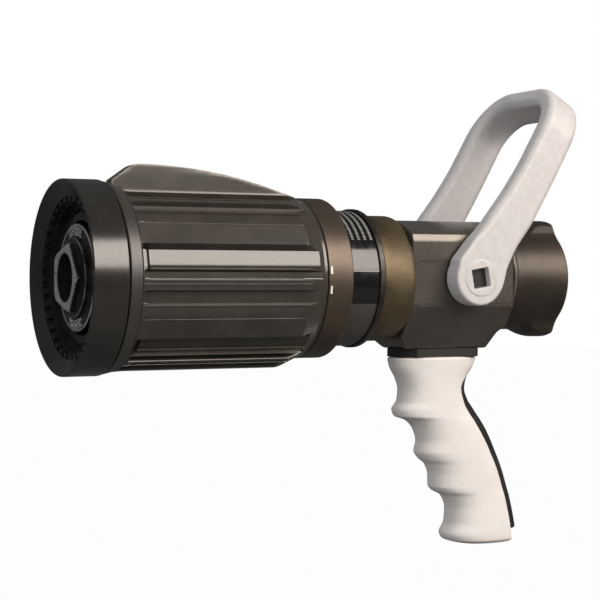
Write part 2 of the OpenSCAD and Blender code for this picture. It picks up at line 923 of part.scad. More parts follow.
module grip_bolt() {
    color(steel) difference() {
        union() {
            grip_bolt_bar(grip_bolt_r);
            grip_bolt_bar(grip_bolt_head_r, -bolt_head_len, 0);
        }
        grip_bolt_bar(3, -bolt_head_len - past, -bolt_head_len + 3);
    }
}

swivel_coupling();
inlet_gasket();
inlet_screen();
race_balls();
race_plug();
valve_body();
inlet_adapter();
front_seat();
rear_seat();
seat_o_ring();
seat_spring();
trunnion_bushes();
trunnion_seals();
valve_ball();
trunnion_left();
trunnion_right();
bail_handle();
body_ring();
band_rim();
label_band();
barrel();
stem_spider();
flow_ring();
flow_index_marks();
flow_detent_ball();
flow_detent_spring();
flow_detent_plug();
stem();
flow_cam_pin();
stem_bolt();
baffle_disc();
baffle_badges();
baffle_nut();
pattern_guide_ring();
sleeve_core();
cam_pins();
sleeve_cover();
front_collar();
bumper();
fog_teeth_ring();
grip_plate();
pistol_grip();
grip_backstrap();
grip_bolt();
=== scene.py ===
"""Looks of the fire hose nozzle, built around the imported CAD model.

Shapes are worked out in millimetres in the row frame and stored in metres: the waterway is the
X axis, +X is forward, +Z is up towards the bail and +Y is the nozzle's left.
"""
import json
import math

import bpy
import numpy as np
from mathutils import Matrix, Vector


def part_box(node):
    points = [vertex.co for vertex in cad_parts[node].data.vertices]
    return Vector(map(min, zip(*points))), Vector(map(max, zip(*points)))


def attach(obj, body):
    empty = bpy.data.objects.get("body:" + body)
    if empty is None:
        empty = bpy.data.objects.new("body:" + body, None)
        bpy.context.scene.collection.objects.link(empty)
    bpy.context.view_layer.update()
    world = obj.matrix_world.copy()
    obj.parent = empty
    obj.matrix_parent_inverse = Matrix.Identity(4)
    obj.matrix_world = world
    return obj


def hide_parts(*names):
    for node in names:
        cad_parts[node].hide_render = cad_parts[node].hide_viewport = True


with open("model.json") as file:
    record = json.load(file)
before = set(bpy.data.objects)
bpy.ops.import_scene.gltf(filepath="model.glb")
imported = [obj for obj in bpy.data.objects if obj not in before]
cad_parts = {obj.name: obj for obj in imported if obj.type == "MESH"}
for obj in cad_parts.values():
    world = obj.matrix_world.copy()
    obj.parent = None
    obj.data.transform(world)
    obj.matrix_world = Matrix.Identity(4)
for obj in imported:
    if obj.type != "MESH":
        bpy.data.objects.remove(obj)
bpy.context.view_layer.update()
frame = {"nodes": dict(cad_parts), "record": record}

MM = 0.001
# Degrees between a face and the field's own slope, past which a corner lies on a crease
CREASE = 28


def node_span(node):
    """Lowest and highest corner of a CAD node, in millimetres."""
    low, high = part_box(node)
    return np.array(low) / MM, np.array(high) / MM


# ---- Sizes that part.scad sets, in millimetres ----

HUB_X = 72.8
BAIL_LEAN = math.radians(30.3)
BAIL_REACH = 132.5
BAIL_THICK = 12.0
BAIL_CORNER = 31.0
HUB_R = 16.1
HUB_INNER = 32.7
PAD_R = 10.5
DRIVE_W = 11.2
DRIVE_TURN = math.radians(10)
BODY_HALF = 32.0
SADDLE_Z = 42.0
SPIGOT_R = 30.0
WATERWAY_R = 16.5
CROWN_R = 60.0
THREAD_R = 25.27
THREAD_DEPTH = 17.5
THREAD_PITCH = 25.4 / 9
COUPLING_R = 31.3
LUG_R = 36.0
GASKET_R = 26.6
TAIL_BORE_R = 24.3
RACE_X = 31.0
CAVITY_R = 27.0
SEAT_R = 24.0
SEAT_END = 97.0
BUSH_R = 10.5
BODY_RING_R = 37.1
BAND_RIM_R = 40.8
BAND_R = 39.7
BAND_BORE_R = 38.6
FLOW_BORE_R = 36.05
CORE_R = 44.0
COLLAR_BORE_R = 47.0
RIB_R = 51.5
RING_R = 46.4
TAIL_END = 186.0
FIN_TOP = 63.0
FIN_HALF = 4.0
POCKET_FRONT = 285.6
NOSE_START = 273.3
NOSE_SLOPE = 0.7
BUMPER_R = 54.0
NUT_SEAT = 297.0
NUT_CORNER_R = 20.0
NUT_BORE_R = 13.4
GRIP_HALF = 15.5
GRIP_BOLT_R = 3.1

BAIL_HALF = node_span("bail_handle")[1][1] - 0.8
COUPLING_LEN = node_span("swivel_coupling")[1][0]
BODY_REAR = node_span("valve_body")[0][0]
BODY_TOP = node_span("valve_body")[1][2]
SPIGOT_END = node_span("valve_body")[1][0]
RING_REAR, RING_FRONT = node_span("body_ring")[0][0], node_span("body_ring")[1][0]
BAND_REAR, BAND_FRONT = node_span("label_band")[0][0], node_span("label_band")[1][0]
FLOW_REAR, FLOW_FRONT = node_span("flow_ring")[0][0], node_span("flow_ring")[1][0]
COVER_REAR, COVER_FRONT = node_span("sleeve_cover")[0][0], node_span("sleeve_cover")[1][0]
COLLAR_FRONT = node_span("front_collar")[1][0]
NOZZLE_LEN = node_span("bumper")[1][0]
BAFFLE_REAR, BAFFLE_FRONT = node_span("baffle_disc")[0][0], node_span("baffle_disc")[1][0]
BAFFLE_R = node_span("baffle_disc")[1][1]
NUT_FRONT = node_span("baffle_nut")[1][0]
GRIP_TOP, GRIP_BOTTOM = -node_span("pistol_grip")[1][2], -node_span("pistol_grip")[0][2]


# ---- Mesh tools ----

def corner_normals(mesh, field):
    """One normal for each face corner, from the slope of the field that the mesh was made from."""
    def read(items, key, size, kind=float):
        values = np.empty(len(items) * size, kind)
        items.foreach_get(key, values)
        return values.reshape(-1, size) if size > 1 else values

    def slope_at(places):
        nudge = 0.04
        slope = np.stack([
            field(*(places + shift).T) - field(*(places - shift).T) for shift in np.eye(3) * nudge
        ], -1)
        return slope / np.maximum(np.linalg.norm(slope, axis=1, keepdims=True), 1e-9)

    points = read(mesh.vertices, "co", 3) / MM
    corner = read(mesh.loops, "vertex_index", 1, np.int32)
    face = np.repeat(np.arange(len(mesh.polygons)), read(mesh.polygons, "loop_total", 1, np.int32))
    middle, flat = read(mesh.polygons, "center", 3)[face] / MM, read(mesh.polygons, "normal", 3)[face]
    normals = slope_at(points)[corner]
    # At a crease each face keeps its own side of it
    crease = (normals * flat).sum(1) < math.cos(math.radians(CREASE))
    normals[crease] = slope_at(0.6 * points[corner[crease]] + 0.4 * middle[crease])
    lost = (normals * flat).sum(1) < 0.5
    normals[lost] = flat[lost]
    return normals


def add_piece(name, points, faces, material, body, nodes,
              sharp_angle=40, even_normals=False, field=None):
    """A mesh object from points in millimetres, which rides on a body and stands for CAD nodes."""
    mesh = bpy.data.meshes.new(name)
    mesh.from_pydata((np.asarray(points) * MM).tolist(), [], np.asarray(faces).tolist())
    mesh.validate()
    mesh.shade_smooth()
    mesh.set_sharp_from_angle(angle=math.radians(sharp_angle))
    piece = bpy.data.objects.new(name, mesh)
    bpy.context.scene.collection.objects.link(piece)
    mesh.materials.append(material)
    if field:
        mesh.normals_split_custom_set(corner_normals(mesh, field).tolist())
    if even_normals:
        weigh = piece.modifiers.new("even_normals", "WEIGHTED_NORMAL")
        weigh.keep_sharp = True
    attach(piece, body)
    if nodes:
        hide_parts(*nodes)
    return piece


def round_outline(corners, step_angle=math.radians(12)):
    """Closed outline from (x, radius, fillet) corners, each corner rounded by an arc."""
    outline = []
    for i, (x, r, fillet) in enumerate(corners):
        here = np.array([x, r], float)
        back = np.array(corners[i - 1][:2], float) - here
        ahead = np.array(corners[(i + 1) % len(corners)][:2], float) - here
        back_len, ahead_len = np.linalg.norm(back), np.linalg.norm(ahead)
        back, ahead = back / back_len, ahead / ahead_len
        half = math.acos(np.clip(back @ ahead, -1, 1)) / 2
        if fillet <= 0 or half > math.radians(88):
            outline.append(here)
            continue
        reach = min(fillet / math.tan(half), 0.48 * back_len, 0.48 * ahead_len)
        radius = reach * math.tan(half)
        middle = (back + ahead) / np.linalg.norm(back + ahead)
        centre = here + middle * radius / math.sin(half)
        start = here + back * reach - centre
        end = here + ahead * reach - centre
        first = math.atan2(start[1], start[0])
        sweep = (math.atan2(end[1], end[0]) - first + math.pi) % (2 * math.pi) - math.pi
        steps = max(2, math.ceil(abs(sweep) / step_angle))
        for k in range(steps + 1):
            angle = first + sweep * k / steps
            outline.append(centre + radius * np.array([math.cos(angle), math.sin(angle)]))
    return np.array(outline)


def turn_outline(outline, segments=180):
    """Points and quads of a closed outline turned about the X axis."""
    count = len(outline)
    angles = np.arange(segments) * 2 * math.pi / segments
    x = np.repeat(outline[None, :, 0], segments, 0)
    y = np.cos(angles)[:, None] * outline[None, :, 1]
    z = np.sin(angles)[:, None] * outline[None, :, 1]
    points = np.stack([x, y, z], -1).reshape(-1, 3)
    i, k = np.meshgrid(np.arange(segments), np.arange(count), indexing="ij")
    ahead, beside = (i + 1) % segments, (k + 1) % count
    faces = np.stack([i * count + k, i * count + beside, ahead * count + beside, ahead * count + k], -1)
    faces = faces.reshape(-1, 4)
    area = np.sum(outline[:, 0] * np.roll(outline[:, 1], -1) - np.roll(outline[:, 0], -1) * outline[:, 1])
    return points, faces if area > 0 else faces[:, ::-1]


def add_turned(name, corners, material, body, nodes):
    points, faces = turn_outline(round_outline(corners))
    return add_piece(name, points, faces, material, body, nodes, 40, True)


# ---- Distance fields: negative inside, in millimetres ----

def join(a, b, r=0.0):
    """Union of two fields, with a fillet of radius r where they meet."""
    if np.isscalar(r) and r == 0:
        return np.minimum(a, b)
    return np.maximum(r, np.minimum(a, b)) - np.hypot(np.maximum(r - a, 0), np.maximum(r - b, 0))


def meet(a, b, r=0.0):
    """Intersection of two fields, with the edge between them rounded to radius r."""
    return -join(-a, -b, r)


def cut(a, b, r=0.0):
    """Field a without field b."""
    return meet(a, -b, r)


def soft_min(a, b, width):
    """Lower of two values, blended where they are within a width of each other."""
    share = np.clip(0.5 + 0.5 * (b - a) / width, 0, 1)
    return b * (1 - share) + a * share - width * share * (1 - share)


def between(v, low, high):
    return np.maximum(low - v, v - high)


def plane_through(u, v, start, end):
    """Distance from the line start-end in the (u, v) plane, positive to its left."""
    du, dv = end[0] - start[0], end[1] - start[1]
    size = math.hypot(du, dv)
    return ((v - start[1]) * du - (u - start[0]) * dv) / size


def box_2d(u, v, half_u, half_v, r):
    qu = np.abs(u) - half_u + r
    qv = np.abs(v) - half_v + r
    return np.hypot(np.maximum(qu, 0), np.maximum(qv, 0)) + np.minimum(np.maximum(qu, qv), 0) - r


def ease(v, low, high):
    """0 below low, 1 above high and smooth between them."""
    t = np.clip((v - low) / (high - low), 0, 1)
    return t * t * (3 - 2 * t)


def curve_at(v, points):
    """Smooth curve through (position, value) points that keeps their peaks as they are."""
    p = np.array(points, float)
    x, y = p[:, 0], p[:, 1]
    h = np.diff(x)
    slope = np.diff(y) / h
    m = np.zeros(len(x))
    same = slope[:-1] * slope[1:] > 0
    w1, w2 = 2 * h[1:] + h[:-1], h[1:] + 2 * h[:-1]
    inner = np.zeros(len(slope) - 1)
    inner[same] = (w1 + w2)[same] / (w1[same] / slope[:-1][same] + w2[same] / slope[1:][same])
    m[1:-1] = inner
    m[0], m[-1] = slope[0], slope[-1]
    v = np.clip(v, x[0], x[-1])
    i = np.clip(np.searchsorted(x, v) - 1, 0, len(h) - 1)
    t = (v - x[i]) / h[i]
    a = y[i] * (1 + 2 * t) * (1 - t) ** 2 + y[i + 1] * t * t * (3 - 2 * t)
    return a + h[i] * (m[i] * t * (1 - t) ** 2 + m[i + 1] * t * t * (t - 1))


def field_mesh(field, low, high, step, coarse=4):
    """Points and quads of the surface where a field is zero, by surface nets.

    Only the cells near the surface are sampled finely, and the points are then moved onto it.
    """
    cells = np.ceil((np.array(high, float) - low) / (step * coarse)).astype(int) + 2
    origin = np.array(low, float) - step * coarse
    big = [origin[a] + (np.arange(cells[a]) + 0.5) * step * coarse for a in range(3)]
    rough = field(*np.meshgrid(*big, indexing="ij"))
    near = np.abs(rough) < 1.5 * step * coarse
    size = cells * coarse
    values = np.repeat(np.repeat(np.repeat(rough, coarse, 0), coarse, 1), coarse, 2).astype(np.float32)
    mask = np.repeat(np.repeat(np.repeat(near, coarse, 0), coarse, 1), coarse, 2)
    where = np.nonzero(mask)
    values[where] = field(*[origin[a] + (where[a] + 0.5) * step for a in range(3)])
    inside = values < 0
    owners, crossings, quads, flips = [], [], [], []
    strides = np.array([size[1] * size[2], size[2], 1])
    for axis in range(3):
        lower = [slice(None)] * 3
        upper = [slice(None)] * 3
        lower[axis], upper[axis] = slice(0, -1), slice(1, None)
        change = inside[tuple(lower)] != inside[tuple(upper)]
        at = np.stack(np.nonzero(change), -1)
        a = values[tuple(at.T)]
        ahead = at.copy()
        ahead[:, axis] += 1
        b = values[tuple(ahead.T)]
        point = at + 0.5
        point[:, axis] += a / (a - b)
        s, t = (axis + 1) % 3, (axis + 2) % 3
        corner = at @ strides
        ring = np.stack([
            corner - strides[s] - strides[t], corner - strides[t], corner, corner - strides[s],
        ], -1)
        for k in range(4):
            owners.append(ring[:, k])
            crossings.append(point)
        quads.append(ring)
        flips.append(a > 0)
    owners = np.concatenate(owners)
    crossings = np.concatenate(crossings)
    cell_ids, index = np.unique(owners, return_inverse=True)
    counts = np.bincount(index)
    points = np.stack([np.bincount(index, crossings[:, a]) / counts for a in range(3)], -1)
    points = origin + points * step
    faces = np.searchsorted(cell_ids, np.concatenate(quads))
    flips = np.concatenate(flips)
    faces[flips] = faces[flips][:, ::-1]
    nudge = 0.02
    for _ in range(3):
        here = field(*points.T)
        slope = np.zeros_like(points)
        for a in range(3):
            shift = np.zeros(3)
            shift[a] = nudge
            slope[:, a] = (field(*(points + shift).T) - field(*(points - shift).T)) / (2 * nudge)
        move = -here[:, None] * slope / np.maximum((slope ** 2).sum(1), 0.2)[:, None]
        length = np.linalg.norm(move, axis=1, keepdims=True)
        points += move * np.minimum(1, 0.6 * step / np.maximum(length, 1e-9))
    return points, faces


# ---- Materials ----

class Shader:
    """A material with a Principled shader, and short calls for the nodes that feed it."""

    def __init__(self, name, **sockets):
        self.material = bpy.data.materials.new(name)
        self.material.use_nodes = True
        self.tree = self.material.node_tree
        self.bsdf = self.tree.nodes["Principled BSDF"]
        self.place = self.tree.nodes.new("ShaderNodeTexCoord").outputs["Object"]
        for socket, value in sockets.items():
            self.bsdf.inputs[socket.replace("_", " ")].default_value = value

    def link(self, value, socket):
        if isinstance(value, (int, float, tuple)):
            socket.default_value = value
        else:
            self.tree.links.new(value, socket)

    def math(self, operation, a, b=0.0, c=0.0):
        node = self.tree.nodes.new("ShaderNodeMath")
        node.operation = operation
        for value, socket in zip((a, b, c), node.inputs):
            self.link(value, socket)
        return node.outputs[0]

    def scaled(self, x, y, z):
        node = self.tree.nodes.new("ShaderNodeMapping")
        node.inputs["Scale"].default_value = (x, y, z)
        self.link(self.place, node.inputs["Vector"])
        return node.outputs[0]

    def noise(self, scale, detail=3.0, stretch=(1, 1, 1), roughness=0.5):
        node = self.tree.nodes.new("ShaderNodeTexNoise")
        node.inputs["Scale"].default_value = 1.0
        node.inputs["Detail"].default_value = detail
        node.inputs["Roughness"].default_value = roughness
        self.link(self.scaled(*[scale * s for s in stretch]), node.inputs["Vector"])
        return node.outputs["Fac"]

    def cells(self, scale):
        """Distance to the edge of the nearest cell of a cell pattern."""
        node = self.tree.nodes.new("ShaderNodeTexVoronoi")
        node.feature = "DISTANCE_TO_EDGE"
        node.inputs["Scale"].default_value = 1.0
        self.link(self.scaled(scale, scale, scale), node.inputs["Vector"])
        return node.outputs["Distance"]

    def span(self, value, low, high, start=0.0, end=1.0):
        node = self.tree.nodes.new("ShaderNodeMapRange")
        node.interpolation_type = "SMOOTHSTEP"
        for socket, number in (("From Min", low), ("From Max", high), ("To Min", start), ("To Max", end)):
            node.inputs[socket].default_value = number
        self.link(value, node.inputs["Value"])
        return node.outputs[0]

    def blend(self, share, first, second):
        node = self.tree.nodes.new("ShaderNodeMix")
        node.data_type = "RGBA"
        for value, socket in ((share, node.inputs[0]), (first, node.inputs[6]), (second, node.inputs[7])):
            self.link(value + (1,) if isinstance(value, tuple) else value, socket)
        return node.outputs[2]

    def radius_and_turn(self):
        """Distance from the X axis in metres, and the angle above +Y in degrees."""
        split = self.tree.nodes.new("ShaderNodeSeparateXYZ")
        self.link(self.place, split.inputs[0])
        x, y, z = split.outputs
        square = self.math("ADD", self.math("MULTIPLY", y, y), self.math("MULTIPLY", z, z))
        turn = self.math("MULTIPLY", self.math("ARCTAN2", z, y), 180 / math.pi)
        return x, self.math("SQRT", square), turn

    def worn_edges(self, low=0.53, high=0.6):
        geometry = self.tree.nodes.new("ShaderNodeNewGeometry")
        return self.span(geometry.outputs["Pointiness"], low, high)

    def bump(self, height, depth, strength=1.0, under=None):
        """Bump of a given depth in millimetres."""
        node = self.tree.nodes.new("ShaderNodeBump")
        node.inputs["Strength"].default_value = strength
        node.inputs["Distance"].default_value = depth * MM
        self.link(height, node.inputs["Height"])
        if under is not None:
            self.link(under, node.inputs["Normal"])
        return node.outputs[0]

    def finish(self, colour=None, roughness=None, normal=None, metallic=None):
        for value, socket in (
            (colour, "Base Color"), (roughness, "Roughness"), (normal, "Normal"), (metallic, "Metallic"),
        ):
            if value is not None:
                self.link(value, self.bsdf.inputs[socket])
        return self.material


def anodised(name, dark, light, roughness, grain, metallic, turned=True, worn=0.0):
    """Hard-anodised aluminium: turning lines round the X axis under a fine blasted grain; with worn above
    zero, rounded edges are painted lighter in patches.
    """
    s = Shader(name, Metallic=metallic)
    lines = s.noise(1, 2, (2600, 60, 60) if turned else (500, 500, 2200))
    blast = s.noise(2400, 2)
    cloud = s.noise(45, 4)
    share = s.math("ADD", s.math("MULTIPLY", cloud, 0.6), s.math("MULTIPLY", blast, 0.5))
    colour = s.blend(s.span(share, 0.3, 0.8), dark, light)
    # Rounded edges are painted a lighter colour in broken patches
    if worn:
        rubbed = s.math("MULTIPLY", s.worn_edges(0.51, 0.56), s.span(s.noise(140, 6), 0.4, 0.6, 0.2, worn))
        colour = s.blend(rubbed, colour, (0.5, 0.46, 0.42))
    rough = s.span(s.math("ADD", s.math("MULTIPLY", lines, 0.5), s.math("MULTIPLY", blast, 0.5)),
                   0.2, 0.8, roughness - 0.06, roughness + 0.08)
    fine = s.bump(blast, grain)
    return s.finish(colour, rough, s.bump(lines, 0.012, 1.0, fine))


def moulded_rubber(name, dark, light, roughness, pit=0.03, turned=False):
    """Moulded rubber: fine pitting, faint flow marks along the mould and dusty patches."""
    s = Shader(name, Specular_IOR_Level=0.75)
    pits = s.noise(1900, 3)
    flow = s.noise(1, 3, (2200, 80, 80) if turned else (60, 900, 900))
    dust = s.noise(60, 5)
    share = s.math("ADD", s.math("MULTIPLY", dust, 0.55), s.math("MULTIPLY", pits, 0.45))
    colour = s.blend(s.span(share, 0.35, 0.75), dark, light)
    rough = s.span(flow, 0.25, 0.75, roughness - 0.02, roughness + 0.03)
    return s.finish(colour, rough, s.bump(flow, 0.002, 1.0, s.bump(pits, pit)))


def powder_coat():
    """Light warm grey powder coat: orange peel, faint drawn streaks and grey scuffs on the edges."""
    s = Shader("bail_coat")
    peel = s.noise(420, 2)
    streak = s.noise(1, 3, (240, 60, 240))
    scuff = s.math("MULTIPLY", s.span(s.noise(160, 6), 0.56, 0.74), s.worn_edges(0.52, 0.58))
    base = s.blend(s.span(streak, 0.25, 0.75), (0.5, 0.485, 0.485), (0.56, 0.545, 0.545))
    colour = s.blend(s.math("MULTIPLY", scuff, 0.6), base, (0.4, 0.37, 0.35))
    return s.finish(colour, s.span(peel, 0.3, 0.7, 0.36, 0.5), s.bump(peel, 0.03))


def leather_grain():
    """Light grey moulded grip with a fine pebbled leather grain, and painted shade in its creases."""
    s = Shader("grip_plastic")
    pebble = s.cells(1150)
    crease = s.span(pebble, 0.0, 0.25)
    fine = s.noise(1500, 3)
    cloud = s.noise(40, 4)
    base = s.blend(s.span(cloud, 0.3, 0.7), (0.74, 0.715, 0.7), (0.8, 0.775, 0.76))
    # The pebble creases are painted darker: painted shade in the grain's hollows
    colour = s.blend(crease, (0.66, 0.635, 0.62), base)
    rough = s.span(fine, 0.2, 0.8, 0.46, 0.6)
    return s.finish(colour, rough, s.bump(crease, 0.035, 0.7, s.bump(fine, 0.012)))


def satin_plastic():
    """Black satin plastic with a fine spark-eroded texture."""
    s = Shader("grip_black")
    spark = s.noise(1700, 3)
    cloud = s.noise(50, 4)
    colour = s.blend(s.span(cloud, 0.3, 0.7), (0.009, 0.009, 0.009), (0.02, 0.019, 0.018))
    return s.finish(colour, s.span(spark, 0.2, 0.8, 0.34, 0.5), s.bump(spark, 0.03))


def brushed_steel(name, worn=False):
    s = Shader(name, Metallic=0.55 if worn else 1.0)
    lines = s.noise(1, 3, (2800, 120, 120))
    stain = s.noise(90, 5)
    colour = s.blend(s.span(stain, 0.35, 0.7), (0.4, 0.39, 0.37), (0.66, 0.65, 0.62))
    if worn:
        scratch = s.noise(800, 4)
        colour = s.blend(s.span(scratch, 0.5, 0.62), (0.16, 0.145, 0.14), (0.85, 0.83, 0.8))
    return s.finish(colour, s.span(lines, 0.2, 0.8, 0.22, 0.42), s.bump(lines, 0.015))


def plain_polymer(name, dark, light, roughness):
    s = Shader(name)
    grain = s.noise(1300, 3)
    cloud = s.noise(70, 4)
    colour = s.blend(s.span(cloud, 0.3, 0.7), dark, light)
    rough = s.span(grain, 0.2, 0.8, roughness - 0.06, roughness + 0.06)
    return s.finish(colour, rough, s.bump(grain, 0.02))


def gloss_band():
    """Gloss black label band: plain ruled lines over its upper part and a satin patch below."""
    s = Shader("band_gloss", Specular_IOR_Level=0.6)
    x, r, turn = s.radius_and_turn()
    rows = 5
    row_width = (BAND_FRONT - BAND_REAR) * MM / rows
    row = s.math("FRACT", s.math("DIVIDE", s.math("SUBTRACT", x, BAND_REAR * MM), row_width))
    stripe = s.math("MULTIPLY", s.span(row, 0.30, 0.34), s.span(row, 0.70, 0.74, 1, 0))
    tick = s.math("FRACT", s.math("DIVIDE", turn, 1.5))
    dash = s.math("MULTIPLY", s.span(tick, 0.25, 0.32), s.span(tick, 0.78, 0.85, 1, 0))
    upper = s.math("MULTIPLY", s.span(turn, 33.0, 33.6), s.span(turn, 118.0, 118.6, 1, 0))
    marks = s.math("MULTIPLY", s.math("MULTIPLY", stripe, dash), upper)
    line = s.math("MULTIPLY", s.span(turn, 5.0, 5.4), s.span(turn, 6.0, 6.4, 1, 0))
    marks = s.math("MAXIMUM", marks, line)
    patch = s.math("MULTIPLY", s.span(turn, -22.0, -21.4, 1, 0), s.span(turn, -100.0, -99.4))
    smear = s.noise(220, 4)
    base = s.blend(patch, (0.006, 0.006, 0.007), (0.055, 0.05, 0.046))
    colour = s.blend(s.math("MULTIPLY", marks, 0.75), base, (0.42, 0.42, 0.4))
    rough = s.math("ADD", s.span(smear, 0.3, 0.7, 0.1, 0.2), s.math("MULTIPLY", patch, 0.25))
    return s.finish(colour, rough, s.bump(smear, 0.015))


def index_paint():
    s = Shader("index_white")
    grain = s.noise(1500, 3)
    colour = s.blend(s.span(grain, 0.3, 0.7), (0.62, 0.61, 0.58), (0.82, 0.81, 0.78))
    return s.finish(colour, s.span(grain, 0.2, 0.8, 0.4, 0.6), s.bump(grain, 0.03))


def dark_hardware(name="dark_anodised", rubbed=False):
    """Dark anodised metal whose edges, and front end if rubbed, are worn bright."""
    s = Shader(name, Metallic=0.75)
    x, r, turn = s.radius_and_turn()
    lines = s.noise(1, 2, (2200, 200, 200))
    blotch = s.noise(130, 6)
    chip = s.noise(900, 4)
    worn = s.math("MULTIPLY", s.worn_edges(0.515, 0.56), s.span(s.math("ADD", blotch, s.math(
        "MULTIPLY", chip, 0.5)), 0.55, 0.85))
    if rubbed:
        nut_end = s.span(x, (NUT_FRONT - 1.5) * MM, (NUT_FRONT - 0.5) * MM)
        rim = s.math("MULTIPLY", s.span(r, (BAFFLE_R - 1.6) * MM, (BAFFLE_R - 1.0) * MM),
                     s.span(x, (BAFFLE_FRONT - 0.8) * MM, (BAFFLE_FRONT - 0.2) * MM))
        chips = s.span(s.math("ADD", chip, s.math("MULTIPLY", blotch, 0.4)), 0.42, 0.68)
        front = s.math("MULTIPLY", s.math("MAXIMUM", nut_end, rim), chips)
        worn = s.math("MAXIMUM", worn, front)
    base = s.blend(s.span(blotch, 0.3, 0.7), (0.035, 0.032, 0.029), (0.075, 0.069, 0.062))
    colour = s.blend(worn, base, (0.62, 0.6, 0.57))
    rough = s.span(lines, 0.2, 0.8, 0.3, 0.46)
    return s.finish(colour, rough, s.bump(lines, 0.012, 1.0, s.bump(chip, 0.02)))


materials = {
    "coupling_black": anodised("coupling_black", (0.036, 0.03, 0.025), (0.07, 0.058, 0.047),
                               0.4, 0.012, 0.6, True, 0.8),
    "gasket_rubber": moulded_rubber("gasket_rubber", (0.02, 0.02, 0.02), (0.04, 0.04, 0.038), 0.6),
    "stainless": brushed_steel("stainless"),
    "body_anodised": anodised("body_anodised", (0.095, 0.086, 0.076), (0.145, 0.13, 0.115),
                              0.26, 0.012, 0.65, False),
    "ring_bronze": anodised("ring_bronze", (0.075, 0.06, 0.047), (0.125, 0.098, 0.076), 0.4, 0.03, 0.7),
    "dark_anodised": dark_hardware(),
    "seat_plastic": plain_polymer("seat_plastic", (0.7, 0.69, 0.65), (0.85, 0.84, 0.8), 0.45),
    "bronze_bush": plain_polymer("bronze_bush", (0.38, 0.25, 0.11), (0.6, 0.42, 0.2), 0.38),
    "bail_coat": powder_coat(),
    "band_gloss": gloss_band(),
    "index_white": index_paint(),
    "badge_metal": brushed_steel("badge_metal", True),
    "sleeve_rubber": moulded_rubber("sleeve_rubber", (0.03, 0.0265, 0.021), (0.05, 0.045, 0.037),
                                    0.22, 0.012),
    "bumper_rubber": moulded_rubber("bumper_rubber", (0.014, 0.013, 0.012), (0.026, 0.0245, 0.022),
                                    0.19, 0.006, True),
    "grip_plastic": leather_grain(),
    "grip_black": satin_plastic(),
}
rubbed_dark = dark_hardware("rubbed_dark", True)
collar_rubber = moulded_rubber("collar_rubber", (0.026, 0.0245, 0.021), (0.042, 0.039, 0.034),
                               0.36, 0.01, True)
# Near-black for parts that sit in shade inside the mouth and the bail's hub: painted shade
painted_shade_dark = plain_polymer("painted_shade_black", (0.012, 0.011, 0.012), (0.026, 0.024, 0.025), 0.36)
grainy_bronze = anodised("grainy_bronze", (0.04, 0.03, 0.018), (0.17, 0.13, 0.075), 0.44, 0.12, 0.7)

for part in frame["record"]["subparts"]:
    cad = frame["nodes"][part["node"]]
    cad.data.materials.clear()
    cad.data.materials.append(materials[part["material_slot"]])
# Trunnions, fog teeth, sleeve core and barrel take the near-black colour: painted shade where they sit
# deep in hollows
for node in ("trunnion_left", "trunnion_right", "fog_teeth_ring", "sleeve_core", "barrel"):
    frame["nodes"][node].data.materials[0] = painted_shade_dark


# ---- Bail handle ----

def bail_frame(x, z):
    """Height across and along the bail, whose own frame leans back from the hub."""
    dx, dz = x - HUB_X, z
    across = dx * math.cos(BAIL_LEAN) + dz * math.sin(BAIL_LEAN)
    along = -dx * math.sin(BAIL_LEAN) + dz * math.cos(BAIL_LEAN)
    return across, along


def top_rounded(y, w, half, top, corner):
    q, s = np.abs(y) - (half - corner), w - (top - corner)
    return np.hypot(np.maximum(q, 0), np.maximum(s, 0)) + np.minimum(np.maximum(q, s), 0) - corner


def bail_field(x, y, z):
    u, w = bail_frame(x, z)
    front = curve_at(w, [(0, 15.9), (13, 15.6), (25, 13.3), (37, 11.5), (58, 8.6), (80, 7.2), (134, 7.2)])
    rear = curve_at(w, [(0, -12.6), (14, -13.2), (25, -13.6), (50, -16.3), (76, -16.6), (134, -15.4)])
    middle, half = (front + rear) / 2, (front - rear) / 2
    side = np.abs(u - middle) - half
    outer = top_rounded(y, w, BAIL_HALF, BAIL_REACH, BAIL_CORNER)
    inner = top_rounded(y, w, BAIL_HALF - BAIL_THICK, BAIL_REACH - BAIL_THICK, BAIL_CORNER - BAIL_THICK)
    depth = np.abs(y)
    from_hub = np.hypot(x - HUB_X, z)
    profile = join(meet(side, 2.0 - w, 1.0), from_hub - HUB_R, 5.0)
    edge_r = 1.6 + 2.6 * ease(w, 12, 34)
    strap = meet(meet(profile, outer, edge_r), -inner, edge_r)
    # Plain ridges across the front of the cross bar
    on_bar = ease(w, BAIL_REACH - 10.5, BAIL_REACH - 9) * ease(-w, 2.5 - BAIL_REACH, 4 - BAIL_REACH)
    on_bar = on_bar * ease(-np.abs(y), -17, -16) * ease(u, 0, 4)
    strap = strap - 0.4 * on_bar * (0.5 + 0.5 * np.cos(y * 2 * math.pi / 2.9))
    hub = meet(from_hub - HUB_R, between(depth, HUB_INNER, BAIL_HALF - 2), 0.5)
    bail = join(strap, hub, 0.3)
    pad = meet(from_hub - PAD_R, between(depth, BAIL_HALF - 3, BAIL_HALF + 0.45), 0.35)
    bail = join(bail, pad, 0.4)
    c, s = math.cos(DRIVE_TURN), math.sin(DRIVE_TURN)
    square = box_2d((x - HUB_X) * c - z * s, (x - HUB_X) * s + z * c, DRIVE_W / 2, DRIVE_W / 2, 0.4)
    return cut(bail, square, 0.5)


def build_bail():
    low, high = node_span("bail_handle")
    points, faces = field_mesh(bail_field, low - 2, high + 2, 0.8)
    add_piece("bail_shell", points, faces, materials["bail_coat"], "bail", ["bail_handle"],
              field=bail_field)


# ---- Valve body ----

